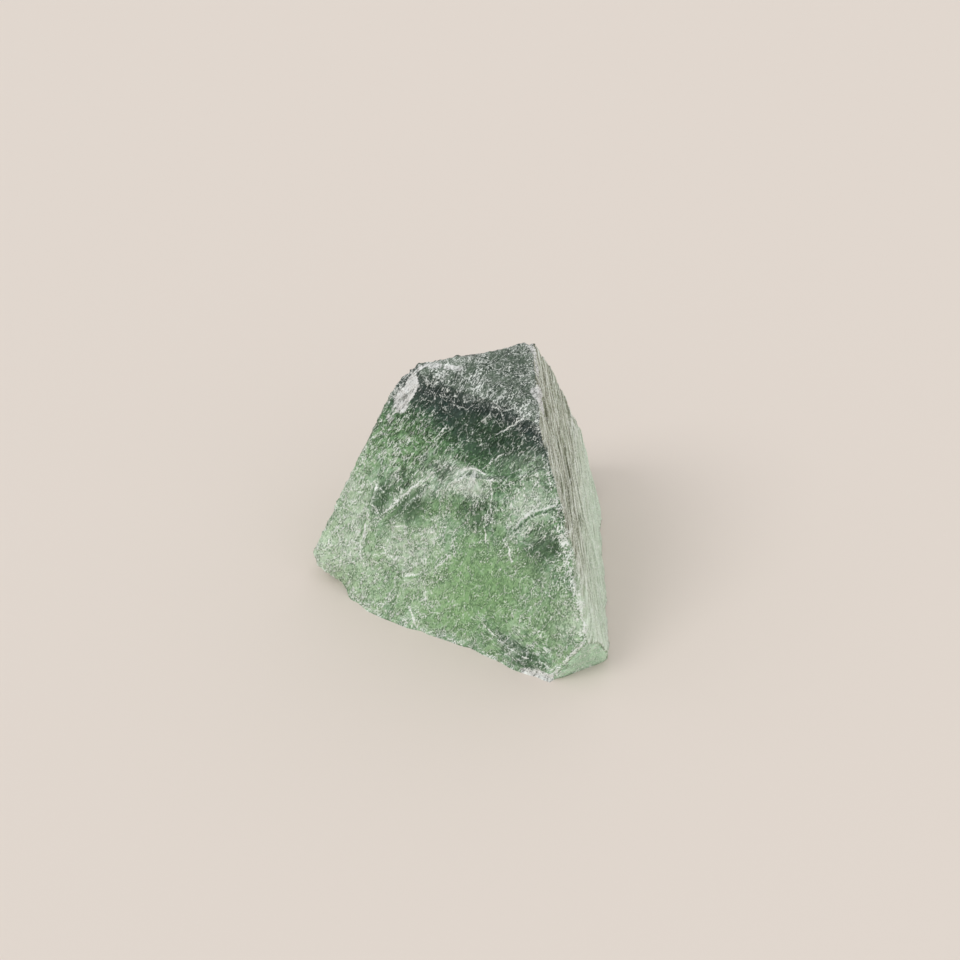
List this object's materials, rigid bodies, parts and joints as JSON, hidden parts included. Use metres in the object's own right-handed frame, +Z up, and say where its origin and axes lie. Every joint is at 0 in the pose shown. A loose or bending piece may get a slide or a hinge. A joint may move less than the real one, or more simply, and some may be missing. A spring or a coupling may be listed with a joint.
{
  "type": "fluorite octahedron",
  "caption": "Rough green fluorite cleavage chunk, a cut-short octahedron with a large front face, striated right face and frosted ledges, resting on a flat cleavage face.",
  "frame": {"origin": "middle of the stone's box, at the height of the flat lower cleavage face that it rests on", "axes": "+Z up, +X to the viewer's right across the large front face, +Y away from the viewer"},
  "size_m": [0.0582, 0.0622, 0.0486],
  "materials": {
    "fluorite": "translucent green crystal with frosted cleavage steps, satin"
  },
  "bodies": {
    "root": {"fluorite": "fluorite"}
  },
  "joints": []
}
